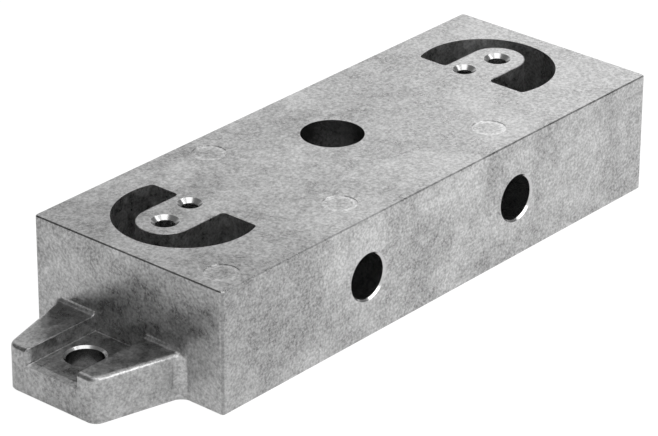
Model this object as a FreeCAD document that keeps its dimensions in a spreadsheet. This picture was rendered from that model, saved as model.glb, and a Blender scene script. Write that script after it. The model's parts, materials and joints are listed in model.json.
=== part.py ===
import FreeCAD, Part
import math
import os
import Sketcher
from FreeCAD import Vector

# Cast aluminium block, machined: a long rectangular body with a channelled lug on one
# end, a bore down its middle, a horseshoe pocket round a drilled tongue towards each
# end, and two cross holes. Millimetres. The origin is on the bore's axis, in the flat
# base; +X runs along the length, away from the lug; +Z is up.

doc = FreeCAD.newDocument("CastBlock")
sheet = doc.addObject("Spreadsheet::Sheet", "Sizes")

SIZES = [
    # body
    ("near_end", 100.6), ("far_end", 99.4), ("side_front", 46), ("side_back", 29),
    ("body_height", 40), ("corner_round", 1.2), ("edge_break", 0.35),
    # lug: a trapezium that widens towards the body
    ("lug_reach", 28.55), ("lug_front_y", -22.33), ("lug_back_y", 12.3),
    ("lug_height", 15), ("lug_flare", 15), ("lug_nose_round", 4),
    ("lug_root_round", 4), ("lug_root_tuck", 0.12), ("lug_inset", 6),
    ("lug_top_round", 1.5), ("lug_cove", 1.5),
    # channel in the lug, open at the nose, with one wall rounded back at the mouth
    ("channel_low_y", -15.6), ("channel_high_y", 4.8), ("channel_floor", 10),
    ("channel_clear", 2), ("mouth_run", 2.5), ("mouth_round", 4.8),
    ("lip_run", 2.4), ("lip_drop", 0.25), ("channel_break", 0.3),
    ("lug_hole_x", -113.7), ("lug_hole_y", -3.9), ("lug_hole_bore", 11.5),
    ("lug_hole_sink", 13.1),
    # middle bore
    ("bore_dia", 20),
    # horseshoe pockets, mirrored about the bore
    ("horseshoe_x", -70.5), ("horseshoe_y", -4), ("horseshoe_rad", 22.35),
    ("horseshoe_flat", -62.5), ("horseshoe_deep", 30), ("horseshoe_corner", 1.5),
    ("tongue_x", -77.7), ("tongue_y", -2.65), ("tongue_rad", 8.95),
    # tongue holes
    ("tip_hole_x", -78), ("tip_hole_bore", 6.2), ("tip_hole_sink", 8.7),
    ("root_hole_x", -64.5), ("root_hole_bore", 5.1), ("root_hole_sink", 7.7),
    ("tongue_hole_deep", 22),
    # cross holes through the width
    ("cross_near_x", -36.6), ("cross_far_x", 34.1), ("cross_height", 20.2),
    ("cross_bore", 14.6), ("cross_sink", 15.8),
    # shallow discs that the ejector pins left
    ("pin_mark_dia", 10.8), ("pin_mark_deep", 0.15),
    ("pin_mark_x", 35.3), ("pin_mark_front_y", -33.5), ("pin_mark_back_y", 19.1),
    ("pin_mark_end_x", 91.5), ("pin_mark_end_y", -37.5),
]
for row, (alias, value) in enumerate(SIZES, start=1):
    sheet.set(f"A{row}", alias)
    sheet.set(f"B{row}", str(value))
    sheet.setAlias(f"B{row}", alias)
doc.recompute()

body = doc.addObject("PartDesign::Body", "cast_block")
body.Label = "cast_block"
PLANES = {f.Role: f for f in body.Origin.OriginFeatures if "Plane" in f.Role}


def size(alias):
    return float(getattr(sheet, alias))


def tell(sk, kind, *refs):
    """One constraint with no dimension."""
    sk.addConstraint(Sketcher.Constraint(kind, *refs))


def drive(sk, kind, refs, guess, expression):
    """One driving dimension, bound to the sheet."""
    index = sk.addConstraint(Sketcher.Constraint(kind, *refs, guess))
    sk.setExpression(f"Constraints[{index}]", expression)


def sketch_on(name, role, offset=None):
    """A sketch on one of the body's planes, moved along the plane's normal by an expression."""
    sk = body.newObject("Sketcher::SketchObject", name)
    sk.AttachmentSupport = [(PLANES[role], "")]
    sk.MapMode = "FlatFace"
    if offset:
        sk.setExpression("AttachmentOffset.Base.z", offset)
    return sk


def place(sk, geo, pos, x, x_expr, y, y_expr):
    """Fix a point's distances from the sketch's origin; zero puts it on the axis."""
    for kind, value, expr, axis in (("DistanceX", x, x_expr, -2), ("DistanceY", y, y_expr, -1)):
        if value == 0:
            tell(sk, "PointOnObject", geo, pos, axis)
        elif value > 0:
            drive(sk, kind, (-1, 1, geo, pos), value, expr)
        else:
            drive(sk, kind, (geo, pos, -1, 1), -value, f"-({expr})")


def arc(sk, centre, radius, start, end):
    """Counter-clockwise arc between two angles in degrees."""
    circle = Part.Circle(Vector(centre[0], centre[1], 0), Vector(0, 0, 1), radius)
    return sk.addGeometry(Part.ArcOfCircle(circle, math.radians(start), math.radians(end)))


def line(sk, a, b):
    return sk.addGeometry(Part.LineSegment(Vector(*a, 0), Vector(*b, 0)))


def circles(sk, spots):
    """Circles at spots (x, x expression, y, y expression, diameter's alias)."""
    for x, x_expr, y, y_expr, dia in spots:
        geo = sk.addGeometry(Part.Circle(Vector(x, y, 0), Vector(0, 0, 1), size(dia) / 2))
        drive(sk, "Diameter", (geo,), size(dia), f"Sizes.{dia}")
        place(sk, geo, 3, x, x_expr, y, y_expr)
    doc.recompute()
    return sk


def spot(x_alias, y_alias, dia):
    """A circle whose centre is the sheet's own two numbers; None puts it on the axis."""
    x, x_expr = (size(x_alias), f"Sizes.{x_alias}") if x_alias else (0, "0")
    y, y_expr = (size(y_alias), f"Sizes.{y_alias}") if y_alias else (0, "0")
    return x, x_expr, y, y_expr, dia


def shrinks(name, before):
    if body.Shape.Volume >= before - 1e-3:
        raise RuntimeError(f"{name} removed nothing")


def pad(name, sk, length):
    feature = body.newObject("PartDesign::Pad", name)
    feature.Profile = sk
    feature.setExpression("Length", length)
    doc.recompute()
    return feature


def pocket(name, sk, length):
    """A pocket down from its sketch, checked to have removed material."""
    before = body.Shape.Volume
    feature = body.newObject("PartDesign::Pocket", name)
    feature.Profile = sk
    feature.setExpression("Length", length)
    doc.recompute()
    shrinks(name, before)
    return feature


def hole(name, sk, bore, sink=None, deep=None):
    """Drilled hole with a 90 degree countersink; through, or blind with a drill point."""
    before = body.Shape.Volume
    feature = body.newObject("PartDesign::Hole", name)
    feature.Profile = sk
    feature.ThreadType = 0
    feature.setExpression("Diameter", f"Sizes.{bore}")
    feature.DepthType = "ThroughAll"
    if sink:
        feature.HoleCutType = "Countersink"
        feature.HoleCutCustomValues = True
        feature.setExpression("HoleCutDiameter", f"Sizes.{sink}")
        feature.HoleCutCountersinkAngle = 90
    if deep:
        feature.DepthType = "Dimension"
        feature.setExpression("Depth", f"Sizes.{deep}")
        feature.DrillPoint = "Angled"
        feature.DrillPointAngle = 118
    doc.recompute()
    shrinks(name, before)
    return feature


def edges_where(test):
    """Names of the body's edges whose middle point passes a test."""
    names = []
    for i, edge in enumerate(body.Shape.Edges, start=1):
        middle = edge.valueAt((edge.FirstParameter + edge.LastParameter) / 2)
        if test(middle):
            names.append(f"Edge{i}")
    if not names:
        raise RuntimeError("no edge passes the test")
    return names


def dress(kind, name, expression, test):
    """A fillet or chamfer along every edge that passes the test."""
    base, names = body.Tip, edges_where(test)
    feature = body.newObject(f"PartDesign::{kind}", name)
    feature.Base = (base, names)
    feature.setExpression("Radius" if kind == "Fillet" else "Size", expression)
    doc.recompute()
    return feature


NEAR, FAR = -size("near_end"), size("far_end")
NOSE = NEAR - size("lug_reach")


def same(a, b):
    return abs(a - b) < 1e-3


# --- lug: padded first, with its nose and root corners already round in plan ---
def lug_side(sk, sign, y_nose):
    """Nose corner, flank, root corner and the straight run into the body, on one side."""
    flare, r_nose, r_root = size("lug_flare"), size("lug_nose_round"), size("lug_root_round")
    half = math.tan(math.radians((90 - flare) / 2))
    cos, sin = math.cos(math.radians(flare)), math.sin(math.radians(flare))
    x_root = NEAR + size("lug_root_tuck")
    y_root = y_nose + sign * (x_root - NOSE) * math.tan(math.radians(flare))
    nose_end = (NOSE + r_nose * half * cos, y_nose + sign * r_nose * half * sin)
    root_start = (x_root - r_root * half * cos, y_root - sign * r_root * half * sin)
    root_y = y_root + sign * r_root * half
    nose_mid, root_mid = (NOSE + r_nose, y_nose - sign * r_nose * half), (x_root - r_root, root_y)
    turn = (180, 270 - flare, 0, 90 - flare) if sign < 0 else (90 + flare, 180, 270 + flare, 360)
    nose = arc(sk, nose_mid, r_nose, *turn[:2])
    flank = line(sk, nose_end, root_start)
    root = arc(sk, root_mid, r_root, *turn[2:])
    run = line(sk, (x_root, root_y), (NEAR + size("lug_inset"), root_y))
    tell(sk, "Horizontal", run)
    # the root arc ends level with its centre, just behind the end face
    tell(sk, "Horizontal", root, 3, run, 1)
    drive(sk, "Radius", (nose,), r_nose, "Sizes.lug_nose_round")
    drive(sk, "Radius", (root,), r_root, "Sizes.lug_root_round")
    drive(sk, "DistanceX", (run, 1, -1, 1), -x_root, "Sizes.near_end - Sizes.lug_root_tuck")
    lean = "Sizes.lug_flare * 1 deg"
    drive(sk, "Angle", (flank,), sign * math.radians(flare), lean if sign > 0 else f"-{lean}")
    return nose, flank, root, run, root_y, nose_mid[1]


def lug_outline():
    sk = sketch_on("lug_plan", "XY_Plane")
    low = lug_side(sk, -1, size("lug_front_y"))
    high = lug_side(sk, 1, size("lug_back_y"))
    inset = NEAR + size("lug_inset")
    front = line(sk, (NOSE, low[5]), (NOSE, high[5]))
    inner = line(sk, (inset, low[4]), (inset, high[4]))
    for item in (front, inner):
        tell(sk, "Vertical", item)
    tell(sk, "Tangent", front, 1, low[0], 1)
    tell(sk, "Tangent", low[0], 2, low[1], 1)
    tell(sk, "Tangent", low[1], 2, low[2], 2)
    tell(sk, "Coincident", low[2], 1, low[3], 1)
    tell(sk, "Coincident", low[3], 2, inner, 1)
    tell(sk, "Coincident", inner, 2, high[3], 2)
    tell(sk, "Coincident", high[3], 1, high[2], 2)
    tell(sk, "Tangent", high[2], 1, high[1], 2)
    tell(sk, "Tangent", high[1], 1, high[0], 1)
    tell(sk, "Tangent", high[0], 2, front, 2)
    drive(sk, "DistanceX", (front, 1, -1, 1), -NOSE, "Sizes.near_end + Sizes.lug_reach")
    drive(sk, "DistanceX", (inner, 1, -1, 1), -inset, "Sizes.near_end - Sizes.lug_inset")
    cut = "Sizes.lug_nose_round * tan((90 - Sizes.lug_flare) / 2 * 1 deg)"
    drive(sk, "DistanceY", (front, 1, -1, 1), -low[5], f"-Sizes.lug_front_y - {cut}")
    drive(sk, "DistanceY", (-1, 1, front, 2), high[5], f"Sizes.lug_back_y - {cut}")
    doc.recompute()
    return sk


pad("lug", lug_outline(), "Sizes.lug_height")
# its top outline is round, from one root past the nose to the other
dress("Fillet", "lug_top_rounding", "Sizes.lug_top_round",
      lambda mid: same(mid.z, size("lug_height")) and mid.x < NEAR - 1e-3)


# --- body, over the lug's root ---
def body_outline():
    sk = sketch_on("body_plan", "XY_Plane")
    x0, x1, y0, y1 = NEAR, FAR, -size("side_front"), size("side_back")
    corners = [(x0, "-Sizes.near_end", y0, "-Sizes.side_front"),
               (x1, "Sizes.far_end", y0, "-Sizes.side_front"),
               (x1, "Sizes.far_end", y1, "Sizes.side_back"),
               (x0, "-Sizes.near_end", y1, "Sizes.side_back")]
    for i, a in enumerate(corners):
        b = corners[(i + 1) % 4]
        line(sk, (a[0], a[2]), (b[0], b[2]))
    for i, (x, x_expr, y, y_expr) in enumerate(corners):
        tell(sk, "Coincident", i, 2, (i + 1) % 4, 1)
        place(sk, i, 1, x, x_expr, y, y_expr)
    doc.recompute()
    return sk


pad("block", body_outline(), "Sizes.body_height")
dress("Fillet", "lug_cove_rounding", "Sizes.lug_cove",
      lambda mid: same(mid.z, size("lug_height")) and same(mid.x, NEAR))
dress("Fillet", "upright_rounding", "Sizes.corner_round",
      lambda mid: same(mid.z, size("body_height") / 2)
      and (same(mid.x, NEAR) or same(mid.x, FAR))
      and (same(mid.y, -size("side_front")) or same(mid.y, size("side_back"))))
dress("Chamfer", "rim_break", "Sizes.edge_break",
      lambda mid: same(mid.z, size("body_height")))
dress("Chamfer", "base_break", "Sizes.edge_break",
      lambda mid: same(mid.z, 0))


# --- channel along the top of the lug, open at the nose, flush with the end face ---
def channel_outline():
    sk = sketch_on("channel_plan", "XY_Plane", "Sizes.lug_height + Sizes.lug_cove + 1")
    low, high, past = size("channel_low_y"), size("channel_high_y"), NOSE - size("channel_clear")
    run, radius = size("mouth_run"), size("mouth_round")
    swing = math.acos(run / radius)
    y_mouth = high + radius - radius * math.sin(swing)
    wall = line(sk, (NEAR, high), (NOSE + run, high))
    mouth = arc(sk, (NOSE + run, high + radius), radius, 180 + math.degrees(swing), 270)
    out = line(sk, (NOSE, y_mouth), (past, y_mouth))
    across = line(sk, (past, y_mouth), (past, low))
    other = line(sk, (past, low), (NEAR, low))
    back = line(sk, (NEAR, low), (NEAR, high))
    tell(sk, "Tangent", wall, 2, mouth, 2)
    tell(sk, "Coincident", mouth, 1, out, 1)
    tell(sk, "Coincident", out, 2, across, 1)
    tell(sk, "Coincident", across, 2, other, 1)
    tell(sk, "Coincident", other, 2, back, 1)
    tell(sk, "Coincident", back, 2, wall, 1)
    for item in (wall, out, other):
        tell(sk, "Horizontal", item)
    for item in (across, back):
        tell(sk, "Vertical", item)
    reach = "Sizes.near_end + Sizes.lug_reach"
    drive(sk, "Radius", (mouth,), radius, "Sizes.mouth_round")
    drive(sk, "DistanceX", (back, 1, -1, 1), -NEAR, "Sizes.near_end")
    drive(sk, "DistanceX", (across, 1, -1, 1), -past, f"{reach} + Sizes.channel_clear")
    drive(sk, "DistanceX", (mouth, 1, -1, 1), -NOSE, reach)
    drive(sk, "DistanceX", (wall, 2, -1, 1), -(NOSE + run), f"{reach} - Sizes.mouth_run")
    drive(sk, "DistanceY", (-1, 1, back, 2), high, "Sizes.channel_high_y")
    drive(sk, "DistanceY", (back, 1, -1, 1), -low, "-Sizes.channel_low_y")
    doc.recompute()
    return sk


pocket("channel", channel_outline(),
       "Sizes.lug_height + Sizes.lug_cove + 1 - Sizes.channel_floor")


def along_channel(mid):
    """An edge that runs the length of either channel wall."""
    walls = (size("channel_low_y"), size("channel_high_y"))
    return NOSE + 1 < mid.x < NEAR - 1 and any(same(mid.y, wall) for wall in walls)


lip = dress("Chamfer", "lip_slope", "Sizes.lip_run",
            lambda mid: same(mid.z, size("channel_floor")) and same(mid.x, NOSE))
lip.ChamferType = "Two distances"
lip.setExpression("Size2", "Sizes.lip_drop")
doc.recompute()
dress("Fillet", "channel_wall_break", "Sizes.channel_break",
      lambda mid: same(mid.z, size("lug_height")) and along_channel(mid))

# its hole, sunk into the channel's floor
lug_spot = sketch_on("lug_hole_spot", "XY_Plane", "Sizes.channel_floor")
hole("lug_hole", circles(lug_spot, [spot("lug_hole_x", "lug_hole_y", "lug_hole_bore")]),
     "lug_hole_bore", "lug_hole_sink")

# --- middle bore ---
bore_spot = sketch_on("bore_spot", "XY_Plane", "Sizes.body_height")
hole("middle_bore", circles(bore_spot, [spot(None, None, "bore_dia")]), "bore_dia")


# --- horseshoe pocket: most of a circle, cut off by a flat, round a tongue that stays ---
def horseshoe_outline():
    sk = sketch_on("horseshoe_plan", "XY_Plane", "Sizes.body_height")
    cx, cy, rad = size("horseshoe_x"), size("horseshoe_y"), size("horseshoe_rad")
    flat, corner = size("horseshoe_flat"), size("horseshoe_corner")
    tx, ty, tr = size("tongue_x"), size("tongue_y"), size("tongue_rad")
    inner = flat - corner
    rise = math.sqrt((rad - corner) ** 2 - (inner - cx) ** 2)
    turn = math.degrees(math.atan2(rise, inner - cx))
    # clockwise from the rim: each item starts where the last one ends
    rim = arc(sk, (cx, cy), rad, turn, 360 - turn)
    out_hi = arc(sk, (inner, cy + rise), corner, 0, turn)
    flat_hi = line(sk, (flat, cy + rise), (flat, ty + tr + corner))
    in_hi = arc(sk, (inner, ty + tr + corner), corner, 270, 360)
    side_hi = line(sk, (inner, ty + tr), (tx, ty + tr))
    tip = arc(sk, (tx, ty), tr, 90, 270)
    side_lo = line(sk, (tx, ty - tr), (inner, ty - tr))
    in_lo = arc(sk, (inner, ty - tr - corner), corner, 0, 90)
    flat_lo = line(sk, (flat, ty - tr - corner), (flat, cy - rise))
    out_lo = arc(sk, (inner, cy - rise), corner, 360 - turn, 360)
    chain = [(rim, 1, out_hi, 2), (out_hi, 1, flat_hi, 1), (flat_hi, 2, in_hi, 2),
             (in_hi, 1, side_hi, 1), (side_hi, 2, tip, 1), (tip, 2, side_lo, 1),
             (side_lo, 2, in_lo, 2), (in_lo, 1, flat_lo, 1), (flat_lo, 2, out_lo, 2),
             (out_lo, 1, rim, 2)]
    for joint in chain:
        tell(sk, "Tangent", *joint)
    for item in (flat_hi, flat_lo):
        tell(sk, "Vertical", item)
        drive(sk, "DistanceX", (item, 1, -1, 1), -flat, "-Sizes.horseshoe_flat")
    for item in (side_hi, side_lo):
        tell(sk, "Horizontal", item)
    for item in (out_hi, in_hi, in_lo, out_lo):
        drive(sk, "Radius", (item,), corner, "Sizes.horseshoe_corner")
    drive(sk, "Radius", (rim,), rad, "Sizes.horseshoe_rad")
    drive(sk, "Radius", (tip,), tr, "Sizes.tongue_rad")
    place(sk, rim, 3, cx, "Sizes.horseshoe_x", cy, "Sizes.horseshoe_y")
    place(sk, tip, 3, tx, "Sizes.tongue_x", ty, "Sizes.tongue_y")
    doc.recompute()
    return sk


horseshoe = pocket("horseshoe", horseshoe_outline(), "Sizes.horseshoe_deep")
tip_spot = sketch_on("tip_hole_spot", "XY_Plane", "Sizes.body_height")
tip_hole = hole("tip_hole", circles(tip_spot, [spot("tip_hole_x", "tongue_y", "tip_hole_bore")]),
                "tip_hole_bore", "tip_hole_sink", "tongue_hole_deep")
root_spot = sketch_on("root_hole_spot", "XY_Plane", "Sizes.body_height")
root_hole = hole("root_hole", circles(root_spot, [spot("root_hole_x", None, "root_hole_bore")]),
                 "root_hole_bore", "root_hole_sink", "tongue_hole_deep")

one_end = body.Shape.Volume
far_end = body.newObject("PartDesign::Mirrored", "far_horseshoe")
far_end.Originals = [horseshoe, tip_hole, root_hole]
far_end.MirrorPlane = (PLANES["YZ_Plane"], [""])
body.Tip = far_end
doc.recompute()
shrinks("far_horseshoe", one_end)

# --- cross holes, drilled from the front side through the width ---
cross_spots = sketch_on("cross_hole_spots", "XZ_Plane", "Sizes.side_front")
hole("cross_holes", circles(cross_spots, [spot("cross_near_x", "cross_height", "cross_bore"),
                                          spot("cross_far_x", "cross_height", "cross_bore")]),
     "cross_bore", "cross_sink")

# --- ejector pin marks in the top ---
marks = sketch_on("pin_mark_spots", "XY_Plane", "Sizes.body_height")
mark_x, mark_end = size("pin_mark_x"), size("pin_mark_end_x")
mark_front = (size("pin_mark_front_y"), "Sizes.pin_mark_front_y", "pin_mark_dia")
mark_back = (size("pin_mark_back_y"), "Sizes.pin_mark_back_y", "pin_mark_dia")
mark_corner = (size("pin_mark_end_y"), "Sizes.pin_mark_end_y", "pin_mark_dia")
circles(marks, [(-mark_x, "-Sizes.pin_mark_x", *mark_front),
                (mark_x, "Sizes.pin_mark_x", *mark_front),
                (-mark_x, "-Sizes.pin_mark_x", *mark_back),
                (-mark_end, "-Sizes.pin_mark_end_x", *mark_corner)])
pocket("pin_marks", marks, "Sizes.pin_mark_deep")

# --- every object sound, one solid; then the file ---
for item in doc.Objects:
    if "Invalid" in item.State or "Error" in item.State:
        raise RuntimeError(f"{item.Name} failed: {item.State}")
shape = body.Shape
if shape.isNull() or not shape.isValid() or len(shape.Solids) != 1:
    raise RuntimeError("cast_block isn't one valid solid")
os.makedirs("parts", exist_ok=True)
shape.exportStep(f"parts/{body.Label}.step")
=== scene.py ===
import json
import math

import bpy
from mathutils import Matrix, Vector


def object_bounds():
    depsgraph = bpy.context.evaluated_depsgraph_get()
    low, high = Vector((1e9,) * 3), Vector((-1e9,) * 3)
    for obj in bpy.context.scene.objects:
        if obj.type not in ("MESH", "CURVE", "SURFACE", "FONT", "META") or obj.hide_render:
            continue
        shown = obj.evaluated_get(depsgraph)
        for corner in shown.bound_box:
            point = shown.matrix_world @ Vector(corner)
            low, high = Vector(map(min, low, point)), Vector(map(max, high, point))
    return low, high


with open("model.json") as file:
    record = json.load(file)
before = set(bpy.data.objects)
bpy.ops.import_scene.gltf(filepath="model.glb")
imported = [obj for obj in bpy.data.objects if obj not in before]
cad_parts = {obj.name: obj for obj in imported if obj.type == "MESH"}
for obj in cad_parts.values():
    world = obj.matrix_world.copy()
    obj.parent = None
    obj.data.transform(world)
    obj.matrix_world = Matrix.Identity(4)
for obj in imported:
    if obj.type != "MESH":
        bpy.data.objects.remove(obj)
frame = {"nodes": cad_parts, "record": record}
cad_low, cad_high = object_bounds()

# --- Cast block ---
# One die casting in aluminium, with a mottled grey skin. Its bores and countersinks are
# drilled afterwards, and the countersinks shine. A painted shade darkens the outer edges and
# upright corners, standing in for the dark line along a small edge break, and each ejector
# pin has left a pale ring.
block = frame["nodes"]["cast_block"]

# Places and sizes are in millimetres from the middle bore's axis and the base.
MM_PER_METRE = 1000.0
LOW, HIGH = MM_PER_METRE * cad_low, MM_PER_METRE * cad_high
LENGTH = 200.0                              # of the block without its lug
TOP, NEAR_END = HIGH.z, HIGH.x - LENGTH
BLOCK = {"x": HIGH.x - LENGTH / 2, "y": (LOW.y + HIGH.y) / 2,
         "half_length": LENGTH / 2, "half_width": (HIGH.y - LOW.y) / 2}
POCKET = {"x": 70.5, "y": -4.0, "radius": 22.35}
BELOW_POCKETS = 9.0                         # a height just under the pockets' floors
TONGUE = {"x": 77.7, "y": -2.65, "radius": 8.95, "root": 64.0, "rim": 0.3}
CHANNEL = {"low": -15.6, "high": 4.8, "floor": 10.0, "corner": 0.4}
EDGE_BREAK = 0.3                            # how far in from the outline the broken edge begins
CORNER_CUT = 0.7                            # how much x plus y a round takes off a sharp corner
PIN_MARKS = [(-35.3, -33.5), (35.3, -33.5), (-35.3, 19.1), (-91.5, -37.5)]
PIN_RADIUS, PIN_RING = 5.4, 1.2             # a mark's radius, and the pale ring's width
# how far past its wall the mask of each kind of hole goes, so that it covers the wall
MARGIN = {"bore": 0.05, "sink": 0.08, "pocket": 0.1}
# how wide each countersink is round its bore, and the grey of the bore itself; the lug hole's low
# grey is a painted shade that darkens its recess
HOLES = {"middle": (0.0, 0.50), "lug_hole": (0.8, 0.16), "cross": (0.6, 0.60),
         "tip": (1.25, 0.80), "root": (1.3, 0.80)}

# the last grey is that of the painted shade along the top's outer edge and the upright corners
SKIN_GREY, POCKET_GREY, SINK_GREY, PAINTED_EDGE_SHADE_GREY = 0.48, 0.60, 0.62, 0.14
# painted shade: the skin is painted darker toward the lug, for the dimmer light there: its factor
# there and at the far end, and x between them
PAINTED_SHADE_AT_LUG, PAINTED_SHADE_AT_FAR_END, SHADE_FROM, SHADE_TO = 0.80, 1.03, -140.0, -30.0
SPECKLE, GRAIN, CLOUD = 0.64, 0.34, 0.42    # how far each size of mottling moves the grey
# the first two: how far the painted shade moves the top's outer edge and the upright corners
# toward that grey
RIM_PAINTED_SHADE, CORNER_PAINTED_SHADE, RING_PALE = 0.5, 0.4, 0.3
SKIN_ROUGH, SINK_ROUGH = 0.33, 0.20
GRAIN_ROUGH, CLOUD_ROUGH = 0.14, 0.08       # how far the mottling moves the roughness
RELIEF = 0.0001                             # metres that one unit of the heights below stands for
SPECKLE_HEIGHT, GRAIN_HEIGHT, FLOOR_CLIMB, TONGUE_DROP = 0.2, 0.13, 4.0, 2.0


class Wire:
    """A socket that is written as a value: each operator adds its Math node."""

    def __init__(self, nodes, socket):
        self.nodes, self.socket = nodes, socket

    def out(self, name):
        """Another output of the node that made this one."""
        return Wire(self.nodes, self.socket.node.outputs[name])

    def math(self, operation, *others):
        values = {"_%d" % place: value for place, value in enumerate((self, *others))}
        return self.nodes.node("Math", {"operation": operation}, **values)

    def __add__(self, other):
        return self.math("ADD", other)

    def __sub__(self, other):
        return self.math("SUBTRACT", other)

    def __mul__(self, other):
        return self.math("MULTIPLY", other)

    def __rsub__(self, other):
        return (self * -1.0) + other

    __radd__, __rmul__ = __add__, __mul__

    def __and__(self, other):
        """The smaller one, so two masks give the area that they share."""
        return self.math("MINIMUM", other)

    def __or__(self, other):
        """The larger one, so two masks give the area of both."""
        return self.math("MAXIMUM", other)

    def __abs__(self):
        return self.math("ABSOLUTE")

    def rise(self, low, high, start=0.0, end=1.0):
        """start below low, end above high, and a smooth step between them."""
        return self.nodes.node("MapRange", {"interpolation_type": "SMOOTHSTEP"}, Value=self,
                               From_Min=low, From_Max=high, To_Min=start, To_Max=end)

    def fall(self, low, high):
        """1 below low, 0 above high, and a smooth step between them."""
        return self.rise(low, high, 1.0, 0.0)

    def toward(self, goal, share):
        """This value, moved to goal by a share from 0 to 1."""
        return self + (goal - self) * share


class Nodes:
    """A node tree, filled from Python expressions."""

    def __init__(self, tree):
        self.tree = tree
        tree.nodes.clear()

    def node(self, kind, settings=(), **values):
        """One node: its settings, then its inputs by name, or as _0, _1 by number."""
        made = self.tree.nodes.new("ShaderNode" + kind)
        for name, value in dict(settings).items():
            setattr(made, name, value)
        for name, value in values.items():
            place = int(name[1:]) if name[1:].isdigit() else name.replace("_", " ")
            self.fill(made.inputs[place], value)
        return Wire(self, made.outputs[0]) if made.outputs else None

    def fill(self, slot, value):
        """Joins a wire to a node's input, or sets the input to a constant."""
        if isinstance(value, Wire):
            self.tree.links.new(value.socket, slot)
        else:
            slot.default_value = value

    def noise(self, place, cell, detail, rough, warp=0.0):
        """Noise whose features are about cell millimetres across, mostly -0.5 to 0.5."""
        return self.node("TexNoise", Vector=place, Scale=1.0 / cell, Detail=detail,
                         Roughness=rough, Distortion=warp).rise(0.25, 0.75, -0.5, 0.5)

    def grey(self, value):
        """A colour from one value."""
        return self.node("CombineColor", Red=value, Green=value, Blue=value)


def new_material(name):
    material = bpy.data.materials.new(name)
    material.use_nodes = True
    return material, Nodes(material.node_tree)


def away(u, v, centre_u, centre_v):
    """Distance from an axis, in millimetres."""
    du, dv = u - centre_u, v - centre_v
    return (du * du + dv * dv).math("SQRT")


def within(distance, radius, soft=0.03):
    """1 inside the radius and 0 outside it, with a soft edge."""
    return distance.fall(radius - soft, radius + soft)


def near_top(z, depth=0.03, soft=0.07):
    """1 from the top down to a depth below it, with a soft edge under that."""
    return z.rise(TOP - depth - soft, TOP - depth)


def hole_masks(x, y, z):
    """From the record's bores: masks of all that is drilled and of the bores, and their grey,
    which in the lug hole is a painted shade.
    """
    drilled, bored, tone = 0.0, 0.0, 0.0
    for mount in frame["record"]["mounts"]:
        if mount["kind"] != "bore":
            continue
        cx, cy, cz = (MM_PER_METRE * c for c in mount["pos_m"])
        upright = abs(mount["axis"][2]) > 0.5
        gap = away(x, y, cx, cy) if upright else away(x, z, cx, cz)
        radius = mount["dims"]["r_mm"]
        sink, grey = next(HOLES[name] for name in HOLES if mount["name"].startswith(name))
        blind = upright and cz > 0
        reach = z.rise(BELOW_POCKETS, BELOW_POCKETS + 1.0) if blind else 1.0
        wall = within(gap, radius + MARGIN["bore"]) * reach
        drilled = within(gap, radius + sink + MARGIN["sink"]) * reach | drilled
        bored, tone = wall | bored, wall * grey | tone
    return drilled, bored, tone


def pocket_walls(x, y, z):
    """The walls and the floors of both pockets, below the top."""
    gap = away(abs(x), y, POCKET["x"], POCKET["y"])
    deep = z.rise(BELOW_POCKETS, BELOW_POCKETS + 0.9) & (1.0 - near_top(z))
    return within(gap, POCKET["radius"] + MARGIN["pocket"]) & deep


def outer_edges(x, y, z):
    """Masks of the edge round the top, and of the block's upright corners, which a painted shade
    darkens.
    """
    along, across = abs(x - BLOCK["x"]), abs(y - BLOCK["y"])
    length, width = BLOCK["half_length"], BLOCK["half_width"]
    outward = along | (across + (length - width))
    begins, corner = length - EDGE_BREAK, length + width - CORNER_CUT
    rim = outward.rise(begins - 0.15, begins) & near_top(z, EDGE_BREAK, soft=0.1)
    corners = (along + across).rise(corner - 0.3, corner)
    not_lug = x.rise(NEAR_END - 0.2, NEAR_END - 0.1)
    return rim, corners & not_lug


def pin_rings(x, y, z):
    """A pale ring just inside each ejector pin's mark."""
    pale = 0.0
    for cx, cy in PIN_MARKS:
        gap = away(x, y, cx, cy)
        inner = PIN_RADIUS - PIN_RING
        pale = (gap.rise(inner - 0.6, inner) & within(gap, PIN_RADIUS)) | pale
    return pale & near_top(z, depth=0.2, soft=0.1)


def tongue_rim(x, y, z):
    """Rises over the last part of the top, up to the tongue's edge."""
    past_centre = (abs(x) - TONGUE["x"]) | 0.0
    gap = away(past_centre, y, 0.0, TONGUE["y"])
    edge = TONGUE["radius"]
    rim = gap.rise(edge - TONGUE["rim"], edge) & within(gap, edge + 0.05, soft=0.01)
    return rim & abs(x).rise(TONGUE["root"], TONGUE["root"] + 0.5) & near_top(z)


def channel_corner(x, y, z):
    """Rises over the last part of the channel's floor, up to its wall and its end."""
    low, wall, width = CHANNEL["low"], CHANNEL["high"], CHANNEL["corner"]
    climb = y.rise(wall - width, wall) | x.rise(NEAR_END - width, NEAR_END)
    inside = y.fall(wall + 0.01, wall + 0.02) & y.rise(low, low + 0.01)
    return climb & inside & z.fall(CHANNEL["floor"] + 0.02, CHANNEL["floor"] + 0.05)


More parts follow.
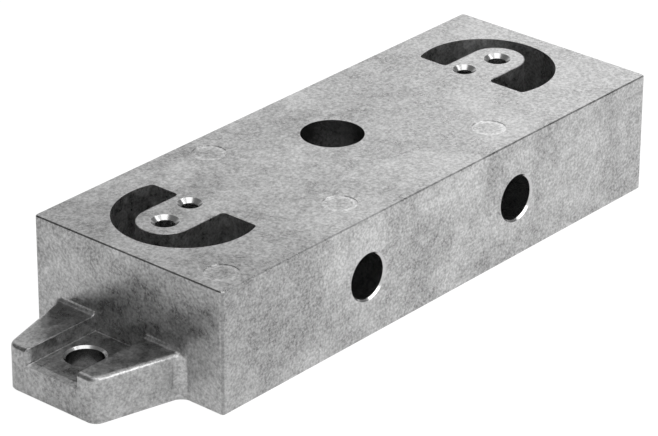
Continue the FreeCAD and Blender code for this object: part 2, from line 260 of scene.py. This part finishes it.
def cast_aluminium():
    material, skin = new_material("cast aluminium")
    at = skin.node("TexCoord").out("Object")
    mm = skin.node("VectorMath", {"operation": "SCALE"}, Vector=at, Scale=MM_PER_METRE)
    x = skin.node("SeparateXYZ", Vector=mm)
    y, z = x.out("Y"), x.out("Z")

    drilled, bored, bore_grey_and_painted_shade = hole_masks(x, y, z)
    pocket = pocket_walls(x, y, z) & (1.0 - drilled)
    rim, corners = outer_edges(x, y, z)
    # painted shade: the skin's grey falls toward the lug, standing in for the dimmer light there
    shade = x.rise(SHADE_FROM, SHADE_TO, PAINTED_SHADE_AT_LUG, PAINTED_SHADE_AT_FAR_END)

    speckle = skin.noise(mm, cell=0.9, detail=2.0, rough=0.65)
    grain = skin.noise(mm, cell=3.2, detail=3.0, rough=0.6, warp=0.3)
    cloud = skin.noise(mm, cell=24.0, detail=3.0, rough=0.55, warp=0.6)
    mottle = 1.0 + speckle * SPECKLE + grain * GRAIN + cloud * CLOUD
    level = mottle * shade * SKIN_GREY * (1.0 + pin_rings(x, y, z) * RING_PALE)
    # painted shade: the top's outer edge and the upright corners are darkened, standing in for
    # the dark line along a small edge break
    level = level.toward(PAINTED_EDGE_SHADE_GREY, rim * RIM_PAINTED_SHADE | corners * CORNER_PAINTED_SHADE)
    level = level.toward(SINK_GREY, drilled)
    level = level.toward(mottle * POCKET_GREY, pocket)
    # painted shade: the lug hole's wall is given a near-black grey, standing in for the shade in
    # that recess
    level = level.toward(mottle * bore_grey_and_painted_shade, bored)
    rough = grain * GRAIN_ROUGH + cloud * CLOUD_ROUGH + SKIN_ROUGH
    rough = rough.toward(SINK_ROUGH, drilled)

    dent = (speckle * SPECKLE_HEIGHT + grain * GRAIN_HEIGHT) * (1.0 - (drilled | pocket))
    shape = channel_corner(x, y, z) * FLOOR_CLIMB - tongue_rim(x, y, z) * TONGUE_DROP
    bump = skin.node("Bump", Strength=1.0, Distance=RELIEF, Height=dent + shape)
    shell = skin.node("BsdfPrincipled", Base_Color=skin.grey(level), Metallic=1.0,
                      Roughness=rough, Normal=bump)
    skin.node("OutputMaterial", Surface=shell)
    return material


block.data.materials.clear()
block.data.materials.append(cast_aluminium())

# --- Floor ---
# A plain white table, large enough that its far edge is out of every near view. From
# below it is clear, so that the base can be looked at.
FLOOR_REACH, FLOOR_GAP = 3.0, 0.0001        # metres: half its width, and its drop below the base
TABLE_WHITE, GLOW = 0.92, 1.12
SEEN_GLOW, MIRRORED_GLOW = 0.85, 0.3        # how much of its own light is seen, and mirrored
TOUCHING = (0.0005, 0.001)                  # metres: rays this short leave the resting base


def white_table():
    material, table = new_material("white table")
    seen = table.node("LightPath")
    mirrored = seen.out("Is Glossy Ray")
    under = table.node("NewGeometry").out("Backfacing")
    # the base mirrors the room, not the table it stands on
    touching = seen.out("Ray Length").fall(*TOUCHING) & mirrored
    matt = table.node("BsdfDiffuse", Color=(TABLE_WHITE, TABLE_WHITE, TABLE_WHITE, 1.0))
    lit = table.node("Emission", Color=(1.0, 1.0, 1.0, 1.0), Strength=GLOW)
    white = table.node("MixShader", _0=seen * SEEN_GLOW | mirrored * MIRRORED_GLOW,
                       _1=matt, _2=lit)
    clear = table.node("BsdfTransparent")
    table.node("OutputMaterial", Surface=table.node("MixShader", _0=under | touching,
                                                     _1=white, _2=clear))
    return material


def floor_piece():
    mesh = bpy.data.meshes.new("floor")
    r, level = FLOOR_REACH, cad_low.z - FLOOR_GAP
    mesh.from_pydata([(-r, -r, level), (r, -r, level), (r, r, level), (-r, r, level)], [],
                     [(0, 1, 2, 3)])
    piece = bpy.data.objects.new("floor", mesh)
    bpy.context.scene.collection.objects.link(piece)
    mesh.materials.append(white_table())


floor_piece()

# --- Light ---
# A white room with a dark wall on the left and a grey one at the far right, a wide soft
# box overhead, one on the right, and one behind, which the far half of the top mirrors.
ROOM_WHITE = 0.80
# each wall: its direction, how nearly a ray points at it where it begins and is full, its grey
DARK_WALL = {"toward": (-0.72, 0.62, 0.30), "begins": 0.35, "full": 0.85, "grey": 0.18}
GREY_WALL = {"toward": (0.79, -0.37, 0.49), "begins": 0.75, "full": 0.95, "grey": 0.20}
# each box: its name, its place and its width and height in metres, its strength
SOFT_BOXES = [("overhead", (-0.25, -0.25, 1.4), 1.0, 1.0, 1.0),
              ("right", (0.20, -0.96, 0.80), 1.3, 0.62, 2.5),
              ("behind", (0.72, 0.44, 0.42), 0.2, 0.2, 0.85)]


def wall_shade(room, ways, wall):
    """The room's white, down to the wall's grey where a ray points at the wall."""
    nearness = room.node("VectorMath", {"operation": "DOT_PRODUCT"}, _0=ways,
                         _1=wall["toward"]).out("Value")
    return nearness.rise(wall["begins"], wall["full"], ROOM_WHITE, wall["grey"])


def light_room():
    world = bpy.data.worlds.new("studio")
    bpy.context.scene.world = world
    world.use_nodes = True
    room = Nodes(world.node_tree)
    ways = room.node("TexCoord")
    shade = wall_shade(room, ways, DARK_WALL) & wall_shade(room, ways, GREY_WALL)
    seen = room.node("LightPath").out("Is Camera Ray")
    back = room.node("Background", Color=(1.0, 1.0, 1.0, 1.0), Strength=shade | seen)
    room.node("OutputWorld", Surface=back)


def soft_box(name, place, width, height, strength):
    light = bpy.data.lights.new(name, "AREA")
    light.shape = "RECTANGLE"
    light.size, light.size_y = width, height
    light.energy = strength * math.pi * width * height
    lamp = bpy.data.objects.new(name, light)
    facing = (-Vector(place)).to_track_quat("-Z", "Y").to_matrix().to_4x4()
    lamp.matrix_world = Matrix.Translation(place) @ facing
    bpy.context.scene.collection.objects.link(lamp)


light_room()
for box in SOFT_BOXES:
    soft_box(*box)

# --- Camera ---
# Long lens, looking down along the block from the lug's end.
EYE = Vector((-0.7730, -0.6674, 0.5198))            # metres
HEADING, DIP, TILT = 40.859, 26.487, 0.26           # degrees
LENS, SENSOR = 200.28, 36.0                         # millimetres
NEAREST, FARTHEST = 0.05, 20.0                      # metres


def camera():
    data = bpy.data.cameras.new("camera")
    data.sensor_width, data.lens = SENSOR, LENS
    data.clip_start, data.clip_end = NEAREST, FARTHEST
    eye = bpy.data.objects.new("camera", data)
    turn, dip = math.radians(HEADING), math.radians(DIP)
    ahead = Vector((math.cos(dip) * math.cos(turn), math.cos(dip) * math.sin(turn),
                    -math.sin(dip)))
    facing = ahead.to_track_quat("-Z", "Y").to_matrix().to_4x4()
    level = Matrix.Rotation(math.radians(TILT), 4, "Z")
    eye.matrix_world = Matrix.Translation(EYE) @ facing @ level
    bpy.context.scene.collection.objects.link(eye)
    bpy.context.scene.camera = eye


camera()
bpy.context.scene.view_settings.view_transform = "Standard"
